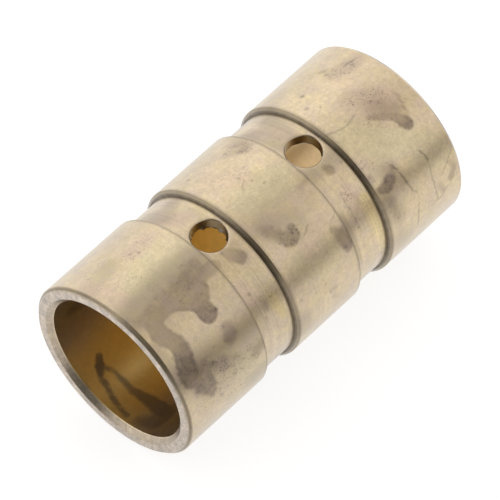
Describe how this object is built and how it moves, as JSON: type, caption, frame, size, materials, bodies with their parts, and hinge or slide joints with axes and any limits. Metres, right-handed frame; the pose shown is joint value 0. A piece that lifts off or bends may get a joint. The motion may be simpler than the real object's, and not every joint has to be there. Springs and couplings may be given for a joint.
{
  "type": "grooved bearing bush",
  "caption": "Turned bronze bearing sleeve with a plain through bore, shallow oil grooves round the outside and oil holes drilled through the groove floors.",
  "frame": {"origin": "centre of the bore, half-way along the sleeve", "axes": "+X along the bore from the front end (the end whose side of each groove is square) to the back end, +Z along the oil holes and up; the sleeve lies on its side"},
  "size_m": [0.108, 0.055, 0.055],
  "materials": {
    "bronze": "fine-turned, stained by handling"
  },
  "bodies": {
    "root": {"bearing_sleeve": "bronze"}
  },
  "joints": []
}
